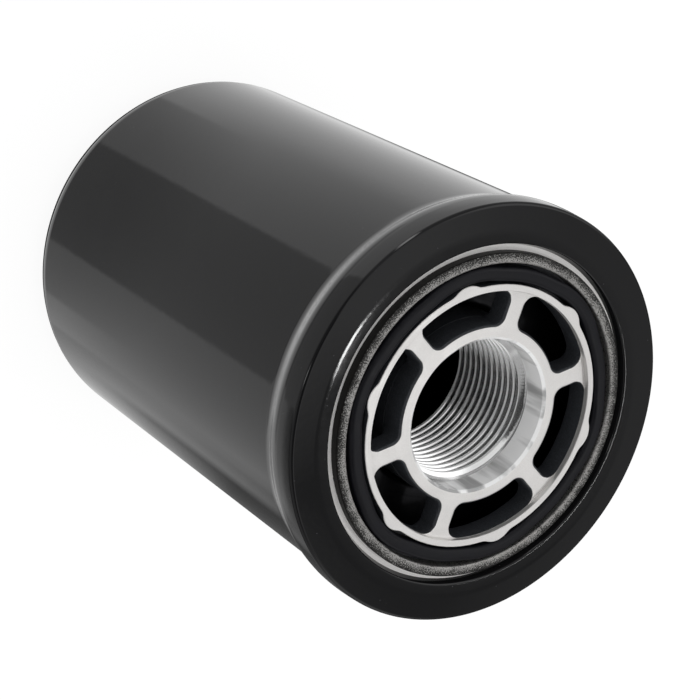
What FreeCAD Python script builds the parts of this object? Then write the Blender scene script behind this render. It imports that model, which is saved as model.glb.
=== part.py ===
import FreeCAD, Part
import math
import os

# Spin-on hydraulic filter. Lengths are in millimetres. The can stands on its closed end with
# the axis along +Z, and the middle of one port lies on +X.

# Thread: 1 3/8 inch, 12 threads to the inch
thread_major_radius = 17.46
thread_depth = 1.16
thread_length = 26.0

# Can
face_height = 136.0
can_radius = 47.2
can_wall = 1.85
base_corner_radius = 9.65
panel_radius = 19.0
panel_depth = 1.2
panel_slope = 30.0
panel_bend_radius = 4.0
rim_step = 1.6
rim_height = 9.0
rim_flare_slope = 45.0
rim_flare_bend_radius = 2.6
rim_corner_radius = 2.2
rim_edge_drop = 0.4
rim_crease_bend_radius = 8.0
lip_width = 2.75
lip_drop = 0.25

# Head
port_count = 6
port_outer_radius = 29.0
port_outer_fillet = 2.4
port_inner_fillet = 2.2
spoke_width = 4.6
spoke_step = 1.3
spoke_depth = 5.7
hub_wall = 3.44
ring_wall = 1.54
lobe_rise = 1.16
lobe_round = 5.0
lobe_fillet = 4.0
bore_chamfer = 0.6
counterbore_depth = 6.3
hub_end_chamfer = 0.8
flange_wall = 2.5
flange_underside_slope = 2.0
casting_fillet = 1.2

# Retainer ring and gasket
retainer_width = 2.4
retainer_foot_width = 3.6
retainer_foot_height = 1.2
retainer_round = 0.9
gasket_width = 3.3
gasket_crown = 0.3
gasket_wave_round = 20.0
gasket_wave_fillet = 60.0
gasket_edge_round = 1.1
gasket_gap = 0.45

# Seals
can_seal_section = 2.8
can_seal_land = 0.5
hub_seal_section = 2.6
hub_seal_rise = 5.2

# Element
cap_sheet = 0.7
cap_skirt = 6.0
cap_bend_radius = 1.5
cap_boss_depth = 2.5
cap_boss_bend_radius = 2.2
top_cap_gap = 5.0
spring_space = 18.0
tube_sheet = 0.8
tube_hole_radius = 2.6
tube_hole_rows = 7
tube_holes_per_row = 6
pleat_count = 36
pleat_leg_share = 0.25
media_sheet = 0.9
mesh_sheet = 0.3
adhesive_layer = 1.0
clip_sheet = 0.3
clip_leg = 3.0
spring_wire_radius = 1.3
spring_turns = 3.0

# Clearances
fit_gap = 0.15
seat_gap = 0.05
layer_gap = 0.05
retainer_gap = 0.25
lip_gap = 2.05
element_gap = 4.15
shortest_edge = 0.000001

# Radii that follow from the sizes above
axis = FreeCAD.Vector(0, 0, 1)
origin = FreeCAD.Vector(0, 0, 0)
full_turn = 360.0
thread_minor_radius = thread_major_radius - thread_depth
port_inner_radius = thread_major_radius + hub_wall
lobed_ring_radius = port_outer_radius + ring_wall
lobe_tip_radius = lobed_ring_radius + lobe_rise
flange_inner_radius = port_outer_radius + flange_wall
retainer_inner_radius = lobe_tip_radius + seat_gap + gasket_width + retainer_gap
retainer_outer_radius = retainer_inner_radius + retainer_width
retainer_foot_radius = retainer_outer_radius + retainer_foot_width
lip_radius = retainer_outer_radius + lip_gap
rim_crease_radius = lip_radius + lip_width
rim_radius = can_radius + rim_step
rim_inner_radius = rim_radius - can_wall
rim_width = rim_radius - rim_crease_radius
cap_radius = can_radius - can_wall - element_gap

# Heights that follow
spoke_face = face_height - spoke_step
port_floor = spoke_face - spoke_depth
lip_slope = lip_drop / lip_width
lip_tip_height = face_height - lip_drop - can_wall * (1 + lip_slope)
retainer_foot_top = lip_tip_height - seat_gap
seat_height = retainer_foot_top - retainer_foot_height
flange_top = face_height - rim_edge_drop - can_wall - seat_gap
flare_height = face_height - rim_height
flare_tangent = math.tan(math.radians(rim_flare_slope))
flare_rise = rim_step / flare_tangent
hub_end = spoke_face - counterbore_depth - thread_length

# The flange's edge is parallel to the inner skin of the can's flare
flange_radius = rim_inner_radius - fit_gap
flare_skin_radius = can_radius - can_wall
flare_skin_shift = can_wall * math.tan(math.radians(rim_flare_slope / 2))
flare_skin_height = flare_height - flare_rise / 2 + flare_skin_shift
flange_underside = flare_height
flange_edge_height = flare_skin_height + (flange_radius - flare_skin_radius) / flare_tangent + fit_gap
flange_foot_radius = flange_radius - (flange_edge_height - flange_underside) * flare_tangent

# Element heights and radii
cap_top = flange_underside - top_cap_gap
bottom_cap_height = can_wall + spring_space
neck_radius = port_inner_radius + fit_gap
tube_inner_radius = neck_radius + cap_bend_radius + seat_gap
tube_outer_radius = tube_inner_radius + tube_sheet
adhesive_inner_radius = tube_outer_radius + fit_gap
adhesive_outer_radius = cap_radius - cap_bend_radius - seat_gap
pack_bottom = bottom_cap_height + cap_sheet + adhesive_layer
pack_top = cap_top - cap_sheet - adhesive_layer
layer_stack = media_sheet / 2 + layer_gap + mesh_sheet
pleat_inner_radius = tube_outer_radius + fit_gap + layer_stack
pleat_outer_radius = adhesive_outer_radius - layer_stack - fit_gap
neck_end = hub_end + hub_end_chamfer
hub_seal_height = neck_end + hub_seal_rise
can_seal_height = flange_edge_height + can_seal_land + can_seal_section / 2 + seat_gap


def point(radius, height):
    """Point of a section, in the plane of X and Z."""
    return FreeCAD.Vector(radius, 0, height)


def polar(radius, angle, height=0.0):
    """Point at an angle in degrees round the axis."""
    turn = math.radians(angle)
    return FreeCAD.Vector(radius * math.cos(turn), radius * math.sin(turn), height)


def unit(vector):
    """Copy of a vector with a length of one."""
    return vector / vector.Length


def rounded_wire(corners, radii):
    """Closed wire through corners, each rounded by its own radius."""
    entries = []
    exits = []
    edges = []
    for i, here in enumerate(corners):
        to_before = unit(corners[i - 1] - here)
        to_after = unit(corners[(i + 1) % len(corners)] - here)
        half = to_before.getAngle(to_after) / 2
        reach = radii[i] / math.tan(half)
        entries.append(here + to_before * reach)
        exits.append(here + to_after * reach)
        if radii[i] > 0:
            inward = unit(to_before + to_after)
            middle = here + inward * (radii[i] / math.sin(half) - radii[i])
            edges.append(Part.Arc(entries[i], middle, exits[i]).toShape())
    for i, start in enumerate(exits):
        end = entries[(i + 1) % len(corners)]
        if not start.isEqual(end, shortest_edge):
            edges.append(Part.makeLine(start, end))
    return Part.Wire(Part.sortEdges(edges)[0])


def revolved(corners, radii):
    """Solid turned round the axis from a rounded section."""
    return Part.Face(rounded_wire(corners, radii)).revolve(origin, axis, full_turn)


def left_of(direction):
    """Unit vector to the left of a direction in a section."""
    return unit(FreeCAD.Vector(-direction.z, 0, direction.x))


def sheet_turned(path, bends, wall, bevel=0.0):
    """Sheet metal turned round the axis. The path is one skin, and the metal is on its left."""
    skin = []
    skin_bends = []
    for i, here in enumerate(path):
        before = here - path[i - 1] if i > 0 else path[1] - here
        after = path[i + 1] - here if i + 1 < len(path) else before
        middle = unit(left_of(before) + left_of(after))
        skin.append(here + middle * (wall / middle.dot(left_of(before))))
        turns_left = after.dot(left_of(before)) > 0
        skin_bend = bends[i] - wall if turns_left else bends[i] + wall
        skin_bends.append(max(skin_bend, 0.0) if bends[i] > 0 else 0.0)
    skin[-1] = skin[-1] + unit(path[-1] - path[-2]) * bevel
    return revolved(path + skin[::-1], bends + skin_bends[::-1])


def arc_between(start, end, centre, radius):
    """The shorter arc of a circle between two of its points."""
    middle = centre + unit((start + end) / 2 - centre) * radius
    return Part.Arc(start, middle, end).toShape()


def lobed_face(base_radius, tip_radius, tip_round, fillet):
    """Flat face of a circle with one rounded lobe at the middle of each port."""
    centre_radius = tip_radius - tip_round
    reach = base_radius + fillet
    cosine = (reach ** 2 + centre_radius ** 2 - (tip_round + fillet) ** 2) / (2 * reach * centre_radius)
    flank = math.degrees(math.acos(cosine))
    pitch = full_turn / port_count
    edges = []
    for i in range(port_count):
        middle = i * pitch
        lobe_centre = polar(centre_radius, middle)
        tips = []
        for side in (-1, 1):
            fillet_centre = polar(reach, middle + side * flank)
            root = polar(base_radius, middle + side * flank)
            tip = lobe_centre + unit(fillet_centre - lobe_centre) * tip_round
            edges.append(arc_between(root, tip, fillet_centre, fillet))
            tips.append(tip)
        edges.append(Part.Arc(tips[0], polar(tip_radius, middle), tips[1]).toShape())
        rest_start = polar(base_radius, middle + flank)
        rest_end = polar(base_radius, middle + pitch - flank)
        edges.append(Part.Arc(rest_start, polar(base_radius, middle + pitch / 2), rest_end).toShape())
    return Part.Face(Part.Wire(Part.sortEdges(edges)[0]))


def raised(face, bottom, top):
    """Solid that a flat face at height zero sweeps from one height to another."""
    return face.translated(axis * bottom).extrude(axis * (top - bottom))


def ring(outer_radius, inner_radius, bottom, top):
    """Plain ring round the axis."""
    base = axis * bottom
    outer = Part.makeCylinder(outer_radius, top - bottom, base)
    return outer.cut(Part.makeCylinder(inner_radius, top - bottom, base))


def make_can():
    """Drawn can: pressed base panel, flared rim and a lip turned in with a bare bevelled edge."""
    slope_run = panel_depth / math.tan(math.radians(panel_slope))
    path = [
        point(0, panel_depth),
        point(panel_radius, panel_depth),
        point(panel_radius + slope_run, 0),
        point(can_radius, 0),
        point(can_radius, flare_height - flare_rise / 2),
        point(rim_radius, flare_height + flare_rise / 2),
        point(rim_radius, face_height - rim_edge_drop),
        point(rim_crease_radius, face_height),
        point(lip_radius, face_height - lip_drop),
    ]
    bends = [
        0.0,
        panel_bend_radius,
        panel_bend_radius,
        base_corner_radius,
        rim_flare_bend_radius,
        rim_flare_bend_radius,
        min(rim_corner_radius, rim_width / 2),
        min(rim_crease_bend_radius, 2 * rim_width),
        0.0,
    ]
    return sheet_turned(path, bends, can_wall, can_wall)


def port_cutter():
    """One kidney port, through the plate between two spokes."""
    pitch = full_turn / port_count
    edges = []
    half_spoke = spoke_width / 2
    outer_angle = pitch / 2 - math.degrees(math.asin(half_spoke / port_outer_radius))
    inner_angle = pitch / 2 - math.degrees(math.asin(half_spoke / port_inner_radius))
    outer_start = polar(port_outer_radius, -outer_angle)
    outer_end = polar(port_outer_radius, outer_angle)
    inner_start = polar(port_inner_radius, -inner_angle)
    inner_end = polar(port_inner_radius, inner_angle)
    edges.append(Part.Arc(outer_start, polar(port_outer_radius, 0), outer_end).toShape())
    edges.append(Part.makeLine(outer_end, inner_end))
    edges.append(Part.Arc(inner_end, polar(port_inner_radius, 0), inner_start).toShape())
    edges.append(Part.makeLine(inner_start, outer_start))
    block = raised(Part.Face(Part.Wire(edges)), hub_end, face_height)
    block = round_upright_edges(block, port_outer_radius, port_outer_fillet)
    return round_upright_edges(block, port_inner_radius, port_inner_fillet)


def round_upright_edges(solid, radius, fillet):
    """Fillet of the upright edges that stand at one distance from the axis."""
    chosen = []
    for edge in solid.Edges:
        middle = edge.CenterOfMass
        upright = edge.BoundBox.ZLength > fillet and edge.BoundBox.XLength < fit_gap
        distance = math.hypot(middle.x, middle.y)
        if upright and abs(distance - radius) < fit_gap:
            chosen.append(edge)
    return solid.makeFillet(fillet, chosen)


def make_head():
    """Cast head: threaded hub, six spokes and ports, lobed ring, gasket seat and clamped flange."""
    groove_radius = rim_inner_radius - can_seal_section - 2 * seat_gap
    groove_half = can_seal_section / 2 + seat_gap
    hub_groove_radius = neck_radius - hub_seal_section - 2 * seat_gap
    hub_groove_half = hub_seal_section / 2 + seat_gap
    counterbore_radius = thread_major_radius + fit_gap
    thread_top = spoke_face - counterbore_depth
    thread_chamfer = counterbore_radius - thread_minor_radius
    section = [
        (point(thread_minor_radius, hub_end + hub_end_chamfer), 0.0),
        (point(thread_minor_radius, thread_top - thread_chamfer), 0.0),
        (point(counterbore_radius, thread_top), 0.0),
        (point(counterbore_radius, spoke_face - bore_chamfer), 0.0),
        (point(counterbore_radius + bore_chamfer, spoke_face), 0.0),
        (point(port_outer_radius, spoke_face), 0.0),
        (point(port_outer_radius, face_height), 0.0),
        (point(lobed_ring_radius, face_height), 0.0),
        (point(lobed_ring_radius, seat_height), 0.0),
        (point(retainer_foot_radius + fit_gap, seat_height), 0.0),
        (point(retainer_foot_radius + fit_gap, flange_top), 0.0),
        (point(flange_radius, flange_top), bore_chamfer),
        (point(flange_radius, can_seal_height + groove_half), 0.0),
        (point(groove_radius, can_seal_height + groove_half), 0.0),
        (point(groove_radius, can_seal_height - groove_half), 0.0),
        (point(flange_radius, can_seal_height - groove_half), 0.0),
        (point(flange_radius, flange_edge_height), 0.0),
        (point(flange_foot_radius, flange_underside), 0.0),
        (point(flange_inner_radius + flange_underside_slope, flange_underside), casting_fillet),
        (point(flange_inner_radius, port_floor), casting_fillet),
        (point(port_inner_radius, port_floor), 0.0),
        (point(port_inner_radius, hub_seal_height + hub_groove_half), 0.0),
        (point(hub_groove_radius, hub_seal_height + hub_groove_half), 0.0),
        (point(hub_groove_radius, hub_seal_height - hub_groove_half), 0.0),
        (point(port_inner_radius, hub_seal_height - hub_groove_half), 0.0),
        (point(port_inner_radius, hub_end + hub_end_chamfer), 0.0),
        (point(port_inner_radius - hub_end_chamfer, hub_end), 0.0),
        (point(thread_minor_radius + hub_end_chamfer, hub_end), 0.0),
    ]
    body = revolved([corner for corner, _ in section], [radius for _, radius in section])
    lobes = raised(lobed_face(lobed_ring_radius, lobe_tip_radius, lobe_round, lobe_fillet),
                   seat_height, face_height)
    lobes = lobes.cut(Part.makeCylinder(port_outer_radius, face_height))
    body = body.fuse(lobes).removeSplitter()
    cutter = port_cutter()
    for i in range(port_count):
        body = body.cut(cutter.rotated(origin, axis, i * full_turn / port_count))
    return body


def make_retainer_ring():
    """Steel ring round the gasket, with a foot held under the can's lip."""
    section = [
        (point(retainer_inner_radius, seat_height), 0.0),
        (point(retainer_foot_radius, seat_height), 0.0),
        (point(retainer_foot_radius, retainer_foot_top), 0.0),
        (point(retainer_outer_radius, retainer_foot_top), 0.0),
        (point(retainer_outer_radius, face_height), retainer_round),
        (point(retainer_inner_radius, face_height), retainer_round),
    ]
    return revolved([corner for corner, _ in section], [radius for _, radius in section])


def make_gasket():
    """Rubber ring that the lobes push outwards into a wave."""
    inner_base = lobed_ring_radius + gasket_gap
    inner_tip = lobe_tip_radius + seat_gap
    inner = lobed_face(inner_base, inner_tip, gasket_wave_round, gasket_wave_fillet)
    outer = lobed_face(inner_base + gasket_width, inner_tip + gasket_width,
                       gasket_wave_round, gasket_wave_fillet)
    top = face_height + gasket_crown
    solid = raised(outer.cut(inner), seat_height, top)
    rims = [edge for edge in solid.Edges if abs(edge.BoundBox.ZMin - top) < seat_gap]
    return solid.makeFillet(gasket_edge_round, rims)


def make_can_seal():
    """O-ring between the flange and the can."""
    section = can_seal_section / 2
    return Part.makeTorus(rim_inner_radius - section - seat_gap, section, axis * can_seal_height)


def make_hub_seal():
    """O-ring between the hub and the neck of the element."""
    section = hub_seal_section / 2
    return Part.makeTorus(neck_radius - section - seat_gap, section, axis * hub_seal_height)


def make_top_cap():
    """Pressed cap with an outer skirt and the neck that slides on the hub."""
    path = [
        point(cap_radius, cap_top - cap_skirt),
        point(cap_radius, cap_top),
        point(neck_radius, cap_top),
        point(neck_radius, neck_end),
    ]
    bends = [0.0, cap_bend_radius, cap_bend_radius, 0.0]
    return sheet_turned(path, bends, cap_sheet)


def make_bottom_cap():
    """Closed pressed cap with a boss that centres the spring."""
    path = [
        point(0, bottom_cap_height - cap_boss_depth),
        point(tube_inner_radius - cap_boss_depth - cap_sheet, bottom_cap_height - cap_boss_depth),
        point(tube_inner_radius - cap_sheet, bottom_cap_height),
        point(cap_radius, bottom_cap_height),
        point(cap_radius, bottom_cap_height + cap_skirt),
    ]
    bends = [0.0, cap_boss_bend_radius, cap_boss_bend_radius, cap_bend_radius, 0.0]
    return sheet_turned(path, bends, cap_sheet)


def make_centre_tube():
    """Perforated tube with staggered rows of round holes."""
    bottom = bottom_cap_height + cap_sheet
    top = cap_top - cap_sheet
    tube = ring(tube_outer_radius, tube_inner_radius, bottom, top)
    row_pitch = (top - bottom) / tube_hole_rows
    hole_pitch = full_turn / tube_holes_per_row
    drills = []
    for row in range(tube_hole_rows):
        height = bottom + (row + 0.5) * row_pitch
        for column in range(tube_holes_per_row):
            angle = (column + row % 2 / 2) * hole_pitch
            reach = tube_outer_radius + tube_sheet
            drills.append(Part.makeCylinder(tube_hole_radius, reach, axis * height, polar(1, angle)))
    return tube.cut(Part.makeCompound(drills))


def pleat_face(offset):
    """Flat face inside the pleat line, moved outwards by an offset."""
    pitch = full_turn / pleat_count
    corners = []
    for i in range(pleat_count):
        for radius, side in ((pleat_inner_radius, -1), (pleat_outer_radius, -1),
                             (pleat_outer_radius, 1), (pleat_inner_radius, 1)):
            leg = math.radians((i + side * pleat_leg_share) * pitch)
            along = radius + offset
            across = side * offset
            corners.append(FreeCAD.Vector(
                along * math.cos(leg) - across * math.sin(leg),
                along * math.sin(leg) + across * math.cos(leg),
                0))
    return Part.Face(Part.makePolygon(corners + corners[:1]))


def pleated_layer(inner_offset, outer_offset):
    """One folded sheet of the pleat pack."""
    sheet = pleat_face(outer_offset).cut(pleat_face(inner_offset))
    return raised(sheet, pack_bottom, pack_top)


def make_media():
    """Folded filter medium."""
    return pleated_layer(-media_sheet / 2, media_sheet / 2)


def make_upstream_mesh():
    """Wire mesh on the outer side of the medium."""
    start = media_sheet / 2 + layer_gap
    return pleated_layer(start, start + mesh_sheet)


def make_downstream_mesh():
    """Wire mesh on the inner side of the medium."""
    start = media_sheet / 2 + layer_gap
    return pleated_layer(-start - mesh_sheet, -start)


def make_seam_clip():
    """Steel channel folded over the pleat that holds the side seam."""
    half_angle = math.radians(pleat_leg_share * full_turn / pleat_count)
    inner_half = pleat_outer_radius * math.sin(half_angle) + layer_stack + layer_gap
    inner_reach = pleat_outer_radius + layer_stack + layer_gap
    outer_half = inner_half + clip_sheet
    height = pack_top - pack_bottom
    start = inner_reach - clip_leg
    block = Part.makeBox(clip_leg + clip_sheet, 2 * outer_half, height,
                         FreeCAD.Vector(start, -outer_half, pack_bottom))
    slot = Part.makeBox(clip_leg, 2 * inner_half, height,
                        FreeCAD.Vector(start, -inner_half, pack_bottom))
    return block.cut(slot)


def make_top_adhesive():
    """Bond between the pleats and the upper cap."""
    return ring(adhesive_outer_radius, adhesive_inner_radius, pack_top, pack_top + adhesive_layer)


def make_bottom_adhesive():
    """Bond between the pleats and the lower cap."""
    return ring(adhesive_outer_radius, adhesive_inner_radius, pack_bottom - adhesive_layer, pack_bottom)


def make_spring():
    """Coil spring between the can's base and the lower cap."""
    rise = spring_space - 2 * spring_wire_radius
    radius = tube_inner_radius + spring_wire_radius + fit_gap
    bottom = can_wall + spring_wire_radius
    helix = Part.makeHelix(rise / spring_turns, rise, radius)
    wire = Part.Wire(helix.Edges)
    wire.translate(axis * bottom)
    start = FreeCAD.Vector(radius, 0, bottom)
    slope = FreeCAD.Vector(0, 2 * math.pi * radius, rise / spring_turns)
    circle = Part.Wire(Part.makeCircle(spring_wire_radius, start, slope))
    return wire.makePipeShell([circle], True, True)


pieces = {
    "filter_can": make_can,
    "filter_head": make_head,
    "retainer_ring": make_retainer_ring,
    "mounting_gasket": make_gasket,
    "can_seal": make_can_seal,
    "hub_seal": make_hub_seal,
    "element_top_cap": make_top_cap,
    "element_bottom_cap": make_bottom_cap,
    "centre_tube": make_centre_tube,
    "filter_media": make_media,
    "upstream_mesh": make_upstream_mesh,
    "downstream_mesh": make_downstream_mesh,
    "seam_clip": make_seam_clip,
    "top_adhesive": make_top_adhesive,
    "bottom_adhesive": make_bottom_adhesive,
    "element_spring": make_spring,
}

os.makedirs("parts", exist_ok=True)
for name, make in pieces.items():
    make().exportStep("parts/" + name + ".step")
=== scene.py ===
import math

import bmesh
import bpy
from mathutils import Matrix, Vector


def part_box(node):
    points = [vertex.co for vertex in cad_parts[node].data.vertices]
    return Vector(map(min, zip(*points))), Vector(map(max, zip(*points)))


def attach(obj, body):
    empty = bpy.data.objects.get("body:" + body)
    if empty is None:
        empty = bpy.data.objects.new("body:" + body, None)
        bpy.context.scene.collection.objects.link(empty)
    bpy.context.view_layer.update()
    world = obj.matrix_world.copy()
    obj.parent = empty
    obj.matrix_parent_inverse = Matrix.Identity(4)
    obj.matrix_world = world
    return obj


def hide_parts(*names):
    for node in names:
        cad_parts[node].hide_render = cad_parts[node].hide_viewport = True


bl_info = {
    "name": "Hydraulic filter",
    "version": (1, 0, 0),
    "blender": (4, 5, 0),
    "location": "3D View > Sidebar > Filter",
    "description": "Builds the looks of a spin-on hydraulic filter round its packed model",
    "category": "Object",
}

# Metres throughout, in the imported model's own frame: the can stands on its closed end, its
# axis is +Z, and the middle of one port lies on +X.
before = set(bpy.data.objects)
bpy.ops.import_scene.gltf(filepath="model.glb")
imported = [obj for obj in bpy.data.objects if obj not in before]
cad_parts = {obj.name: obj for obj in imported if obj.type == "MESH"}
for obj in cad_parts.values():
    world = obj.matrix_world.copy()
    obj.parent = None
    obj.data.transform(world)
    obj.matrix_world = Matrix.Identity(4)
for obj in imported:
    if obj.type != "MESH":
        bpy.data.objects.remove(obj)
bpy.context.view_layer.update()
can_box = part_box("filter_can")
head_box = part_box("filter_head")
gasket_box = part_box("mounting_gasket")
ring_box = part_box("retainer_ring")

mm = 0.001
weld_distance = 0.000001
turning_steps = 288
thread_steps = 120
arc_step = math.radians(6)
rim_step = 1.6 * mm
face_height = head_box[1].z
rim_radius = can_box[1].x
body_radius = rim_radius - rim_step
seat_height = gasket_box[0].z

# Shares of the thread's pitch that its crest and its foot take up
crest_share = 0.34
root_share = 0.875
# Upward parts of the normals that tell flat tops, rounded edges and slopes apart
facing_up, rounded_up, leaning_up = 0.9, 0.7, 0.5
# Values that most of a noise pattern lies between
noise_range = (0.3, 0.7)
# The small lamp in degrees: azimuth from the camera's own, elevation, width and height
lamp_azimuth, lamp_elevation = 179.5, 54.0
lamp_spans = (2.4, 5.0)
# The floor's grey in bounced light, and the painted shadow under the can with its soft edge, which
# glossy surfaces see
pale_tone, painted_shadow_tone, shade_edge = 0.85, 0.01, 0.4 * mm


def size(name, note, value):
    """Length that a user may change."""
    return bpy.props.FloatProperty(name=name, description=note, default=value, unit="LENGTH",
                                   subtype="DISTANCE", precision=5)


def turn(name, note, degrees):
    """Angle that a user may change."""
    return bpy.props.FloatProperty(name=name, description=note, default=math.radians(degrees),
                                   unit="ROTATION", subtype="ANGLE")


def share(name, note, value):
    """Plain number from nought upwards that a user may change."""
    return bpy.props.FloatProperty(name=name, description=note, default=value, min=0.0)


def whole(name, note, value):
    """Count that a user may change."""
    return bpy.props.IntProperty(name=name, description=note, default=value, min=1)


def colour(name, note, value):
    """Linear colour that a user may change."""
    return bpy.props.FloatVectorProperty(name=name, description=note, default=value, size=3,
                                         subtype="COLOR", min=0.0, max=1.0)


class FilterCanSizes(bpy.types.PropertyGroup):
    """Sizes of the drawn can."""
    body: size("Body radius", "Outer radius of the can's wall", body_radius)
    wall: size("Wall", "Thickness of the sheet", 1.85 * mm)
    base_corner: size("Base corner", "Outer radius of the corner round the base", 9.65 * mm)
    panel: size("Panel radius", "Radius of the pressed panel in the base", 19.0 * mm)
    panel_depth: size("Panel depth", "How far the panel is pressed in", 1.2 * mm)
    panel_slope: turn("Panel slope", "Slope of the panel's edge", 30.0)
    panel_bend: size("Panel bend", "Bend radius at the panel's edge", 4.0 * mm)
    rim: size("Rim radius", "Outer radius of the rolled rim", rim_radius)
    rim_height: size("Rim height", "Height from the face to the middle of the flare", 9.5 * mm)
    flare_slope: turn("Flare slope", "Slope of the flare's middle from the axis", 19.5)
    flare_bend: size("Flare bend", "Bend radius at both ends of the flare", 10.0 * mm)
    rim_corner: size("Rim corner", "Outer radius of the rim's upper corner", 0.9 * mm)
    rim_drop: size("Rim drop", "How far the rim's edge lies below the face", 0.38 * mm)
    rim_lean: size("Rim lean", "How far the rim's wall leans in at its upper corner", 0.25 * mm)
    lean_height: size("Lean height", "Height below the face where the rim's wall leans", 4.0 * mm)
    lean_bend: size("Lean bend", "Bend radius of the rim's wall", 40.0 * mm)
    crease: size("Crease radius", "Radius of the soft crease on the rim's face", 42.5 * mm)
    crease_bend: size("Crease bend", "Bend radius of the crease", 12.0 * mm)
    lip: size("Lip radius", "Inner radius of the rim, at the lip's upper edge", 39.6 * mm)
    lip_drop: size("Lip drop", "How far the lip's edge lies below the face", 0.15 * mm)
    lip_round: size("Lip round", "Radius of the lip's upper edge", 0.6 * mm)
    lip_lean: size("Lip lean", "How far the lip's end leans inwards", 0.75 * mm)


class FilterHeadSizes(bpy.types.PropertyGroup):
    """Sizes of the cast head."""
    thread_radius: size("Thread radius", "Radius at the bottom of the thread", 17.46 * mm)
    thread_depth: size("Thread depth", "Height of the thread's ridge", 1.16 * mm)
    thread_pitch: size("Thread pitch", "Distance from one turn to the next", 25.4 * mm / 12)
    thread_length: size("Thread length", "Length of the threaded bore", 26.0 * mm)
    thread_bed: size("Thread bed", "How deep the ridge is set in the hub's wall", 0.1 * mm)
    counterbore: size("Counterbore", "Depth of the plain bore above the thread", 6.3 * mm)
    counterbore_gap: size("Counterbore gap", "Counterbore's radius past the thread's", 0.15 * mm)
    bore_chamfer: size("Bore chamfer", "Chamfer at the mouth of the bore", 0.6 * mm)
    hub_chamfer: size("Hub chamfer", "Chamfers at the hub's lower end", 0.8 * mm)
    hub: size("Hub radius", "Outer radius of the hub", 20.9 * mm)
    port: size("Port radius", "Radius of the ports' outer wall", 29.0 * mm)
    ports: whole("Ports", "Count of kidney ports", 6)
    port_outer_fillet: size("Outer fillet", "Corner radius at a port's outer wall", 2.4 * mm)
    port_inner_fillet: size("Inner fillet", "Corner radius at a port's inner wall", 2.2 * mm)
    port_mouth: size("Port mouth", "Radius of the cast edge round a port's mouth", 0.7 * mm)
    port_foot: size("Port foot", "Radius of the cast edge at a port's lower end", 0.7 * mm)
    port_gap: size("Port gap", "Step between a port's outer wall and the ring's", 0.02 * mm)
    spoke: size("Spoke width", "Width of a spoke between two ports", 4.6 * mm)
    spoke_step: size("Spoke step", "How far the spokes lie below the ring", 1.3 * mm)
    spoke_depth: size("Spoke depth", "Thickness of the spokes", 5.7 * mm)
    ring: size("Ring radius", "Outer radius of the lobed ring between its lobes", 30.54 * mm)
    ring_body: size("Ring bed", "Radius of the casting inside the lobed ring", 30.0 * mm)
    ring_edge: size("Ring edge", "Chamfer on the lobed ring's edges", 0.12 * mm)
    lobe_tip: size("Lobe tip", "Radius at the tip of a lobe", 31.7 * mm)
    lobe_round: size("Lobe round", "Radius of a lobe's rounding", 5.0 * mm)
    lobe_fillet: size("Lobe fillet", "Radius between a lobe and the ring", 4.0 * mm)
    flange_inner: size("Flange recess", "Radius of the recess below the ports", 31.5 * mm)
    flange_slope: size("Recess slope", "Extra radius at the recess's foot", 2.0 * mm)
    flange_seat: size("Flange seat", "Outer radius of the ring's seat", 41.45 * mm)
    flange_top: size("Flange top", "Height of the flange under the rim", face_height - 2.3 * mm)
    flange_edge: size("Flange edge", "Height where the flange's edge turns in",
                      face_height - 7.43 * mm)
    flange: size("Flange radius", "Outer radius of the clamped flange", 46.8 * mm)
    flange_foot: size("Flange foot", "Radius of the flange's lower face", 45.23 * mm)
    flange_under: size("Flange underside", "Height of the flange's lower face",
                       face_height - 9.0 * mm)
    casting_fillet: size("Casting fillet", "Radius of the casting's inner corners", 1.2 * mm)


class FilterRingSizes(bpy.types.PropertyGroup):
    """Sizes of the retainer ring and the gasket."""
    inner: size("Ring inside", "Inner radius of the retainer ring", 35.25 * mm)
    rise: size("Ring rise", "How far the ring's top stands above the face", 0.2 * mm)
    width: size("Ring width", "Width of the ring's top", 2.4 * mm)
    foot: size("Ring foot", "Outer radius of the ring's foot", ring_box[1].x)
    foot_drop: size("Foot drop", "How far the top of the ring's foot lies below the face",
                    2.10 * mm)
    rounding: size("Ring rounding", "Radius of the ring's upper edges", 0.45 * mm)
    gasket_gap: size("Gasket gap", "Gap from the lobed ring to the gasket", 0.45 * mm)
    gasket_touch: size("Gasket touch", "Gap from a lobe's tip to the gasket", 0.05 * mm)
    gasket_width: size("Gasket width", "Width of the gasket", 3.3 * mm)
    gasket_edge: size("Gasket edge", "Radius of the gasket's upper edges", 1.1 * mm)
    wave_round: size("Wave round", "Radius of the gasket's bend at a lobe", 20.0 * mm)
    wave_fillet: size("Wave fillet", "Radius of the gasket's bend beside a lobe", 60.0 * mm)


class FilterColours(bpy.types.PropertyGroup):
    """Colours of the visible finishes."""
    paint: colour("Paint", "Gloss black of the can", (0.006, 0.006, 0.0065))
    face: colour("Machined face", "Turned face of the head", (0.80, 0.785, 0.77))
    bore: colour("Bore", "Polished bore and thread", (0.86, 0.86, 0.86))
    casting: colour("Casting", "Dark cast walls of the head", (0.026, 0.028, 0.032))
    ring: colour("Retainer ring", "Dull steel of the retainer ring", (0.265, 0.26, 0.252))
    rubber: colour("Rubber", "Gasket and seals", (0.005, 0.005, 0.007))


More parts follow.
